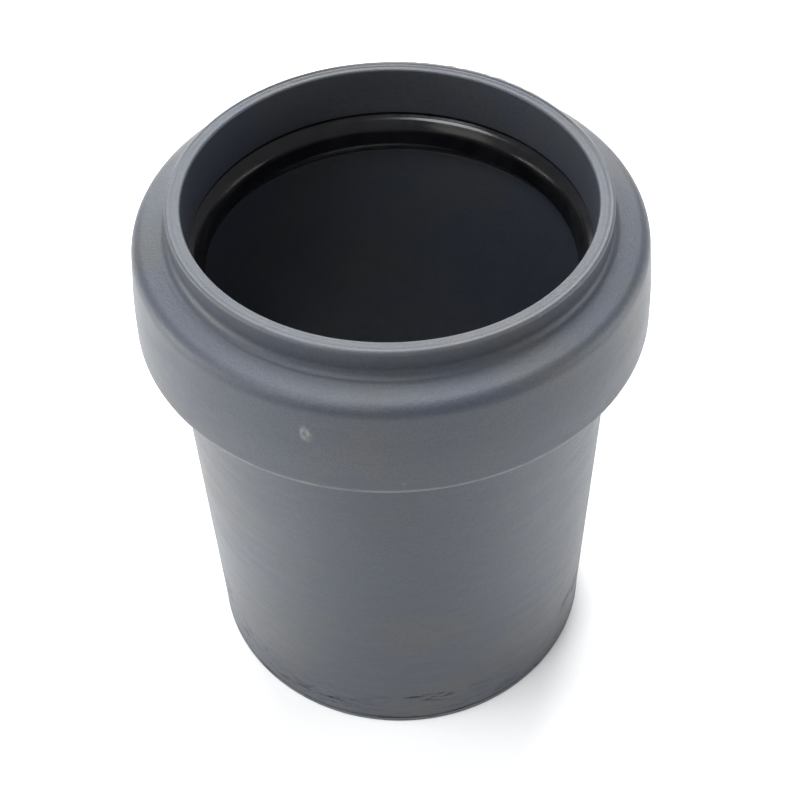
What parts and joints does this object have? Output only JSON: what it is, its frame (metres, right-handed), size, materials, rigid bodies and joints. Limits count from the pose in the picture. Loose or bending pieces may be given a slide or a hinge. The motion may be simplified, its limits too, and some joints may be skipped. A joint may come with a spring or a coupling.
{
  "type": "push-fit reducing coupling",
  "caption": "Short plastic waste-pipe reducer: a plain spigot below, a ring-sealed push-fit socket for the next smaller pipe above, under a stepped collar.",
  "frame": {"origin": "centre of the spigot's end face, which the coupling stands on", "axes": "+Z along the pipe axis, from the spigot's end to the mouth of the socket"},
  "size_m": [0.047, 0.047, 0.056],
  "materials": {
    "body_plastic": "satin blue-grey polypropylene",
    "cap_plastic": "satin blue-grey polypropylene",
    "seal_rubber": "smooth black rubber with a light film of lubricant"
  },
  "bodies": {
    "root": {"body": "body_plastic", "retaining_cap": "cap_plastic", "seal_ring": "seal_rubber"}
  },
  "joints": []
}
